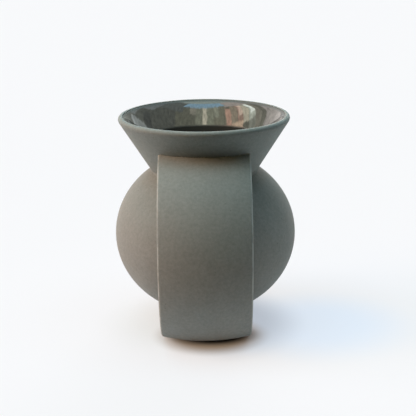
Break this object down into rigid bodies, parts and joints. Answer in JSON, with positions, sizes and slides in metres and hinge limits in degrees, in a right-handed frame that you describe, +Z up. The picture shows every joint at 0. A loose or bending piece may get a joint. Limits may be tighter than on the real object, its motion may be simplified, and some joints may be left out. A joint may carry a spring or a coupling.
{
  "type": "vase",
  "caption": "Squat round vase with a flared collar and a wide strap handle from collar to foot, matte stoneware outside and glazed inside.",
  "frame": {"origin": "centre of the foot's resting face, on the axis of the body", "axes": "+Z up along the axis of the body and collar, -Y towards the strap"},
  "size_m": [0.164, 0.196, 0.1908],
  "materials": {
    "stoneware": "matte, fine grained, dark grey; glossy glaze inside"
  },
  "bodies": {
    "root": {"vase": "stoneware"}
  },
  "joints": []
}
